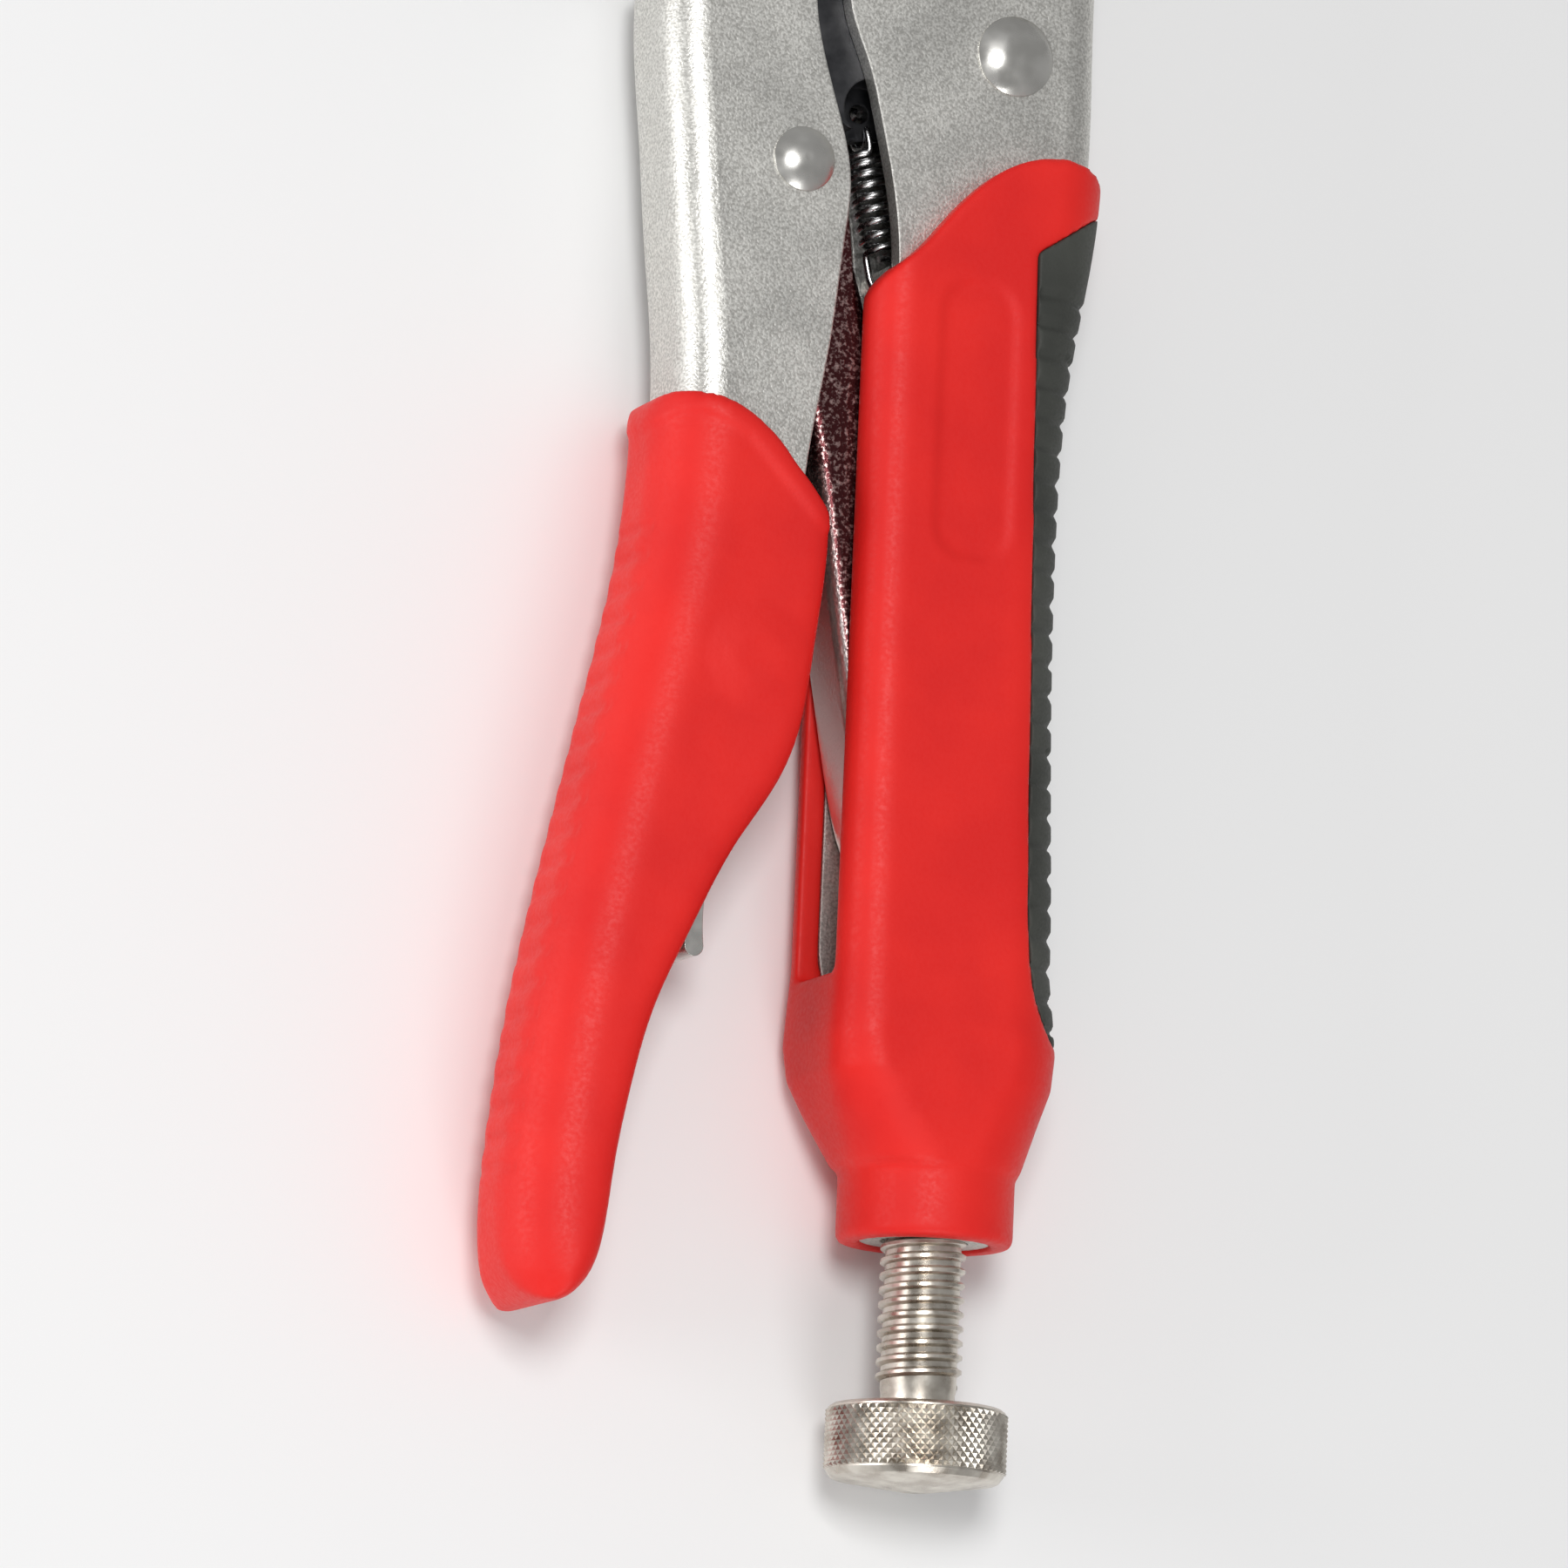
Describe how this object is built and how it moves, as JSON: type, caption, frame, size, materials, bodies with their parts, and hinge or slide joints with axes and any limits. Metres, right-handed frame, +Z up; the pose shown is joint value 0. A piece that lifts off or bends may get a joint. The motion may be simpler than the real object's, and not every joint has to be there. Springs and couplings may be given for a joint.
{
  "type": "locking pliers",
  "caption": "Locking pliers with curved toothed jaws, an over-centre toggle, a knurled adjusting screw and soft two-tone grips.",
  "frame": {"origin": "centre of the underside's box, on the surface that the pliers lie on", "axes": "+Y along the tool towards the jaws, +X towards the fixed handle, +Z up through the flat side"},
  "size_m": [0.0663, 0.2246, 0.0216],
  "materials": {
    "sheet_steel": "sandblasted nickel plate",
    "jaw_steel": "dark smooth forged steel",
    "link_steel": "sandblasted sides with a polished edge",
    "rivet_steel": "nickel plate, satin",
    "spring_steel": "bright spring wire",
    "screw_steel": "warm nickel plate",
    "red_rubber": "semi-gloss moulded rubber",
    "grey_rubber": "matt ribbed rubber"
  },
  "bodies": {
    "frame": {"fixed_handle": "sheet_steel", "fixed_jaw": "jaw_steel", "jaw_pivot_rivet": "rivet_steel", "jaw_rivet_front": "rivet_steel", "jaw_rivet_rear": "rivet_steel", "fixed_grip": "red_rubber", "grip_insert": "grey_rubber", "jaw_spring": "spring_steel"},
    "jaw": {"moving_jaw": "jaw_steel"},
    "handle": {"moving_handle": "sheet_steel", "handle_rivet": "rivet_steel", "link_rivet": "rivet_steel", "lever_rivet": "rivet_steel", "moving_grip": "red_rubber"},
    "link": {"toggle_link": "link_steel"},
    "lever": {"release_lever": "link_steel"},
    "screw": {"adjusting_screw": "screw_steel"},
    "knob": {"screw_knob": "screw_steel"}
  },
  "joints": [
    {"name": "handle_hinge", "type": "hinge", "parent": "jaw", "child": "handle", "pos_m": [-0.0121, 0.05665, 0.0108], "axis": [0, 0, 1], "range_deg": [-55, 0]},
    {"name": "jaw_hinge", "type": "hinge", "parent": "frame", "child": "jaw", "pos_m": [0.0205, 0.04935, 0.0108], "axis": [0, 0, 1], "range_deg": [0, 14.1], "deforming": ["jaw_spring"]},
    {"name": "link_hinge", "type": "hinge", "parent": "handle", "child": "link", "pos_m": [-0.0047, 0.03385, 0.0108], "axis": [0, 0, 1], "range_deg": [0, 54.3]},
    {"name": "lever_hinge", "type": "hinge", "parent": "handle", "child": "lever", "pos_m": [-0.0082, -0.02335, 0.0108], "axis": [0, 0, 1], "range_deg": [-3, 3]},
    {"name": "screw_slide", "type": "slide", "parent": "frame", "child": "screw", "axis": [0, 1, 0], "range_m": [-0.0127, 0]},
    {"name": "knob_turn", "type": "hinge", "parent": "screw", "child": "knob", "pos_m": [0.0184, -0.10665, 0.0108], "axis": [0, 1, 0], "range_deg": [-2881, 0]}
  ],
  "couplings": [
    {"joint": "jaw_hinge", "follows": "handle_hinge", "ratio": -0.2546},
    {"joint": "link_hinge", "follows": "handle_hinge", "ratio": -0.9851},
    {"joint": "knob_turn", "follows": "screw_slide", "rad_per_m": 3957.9}
  ]
}
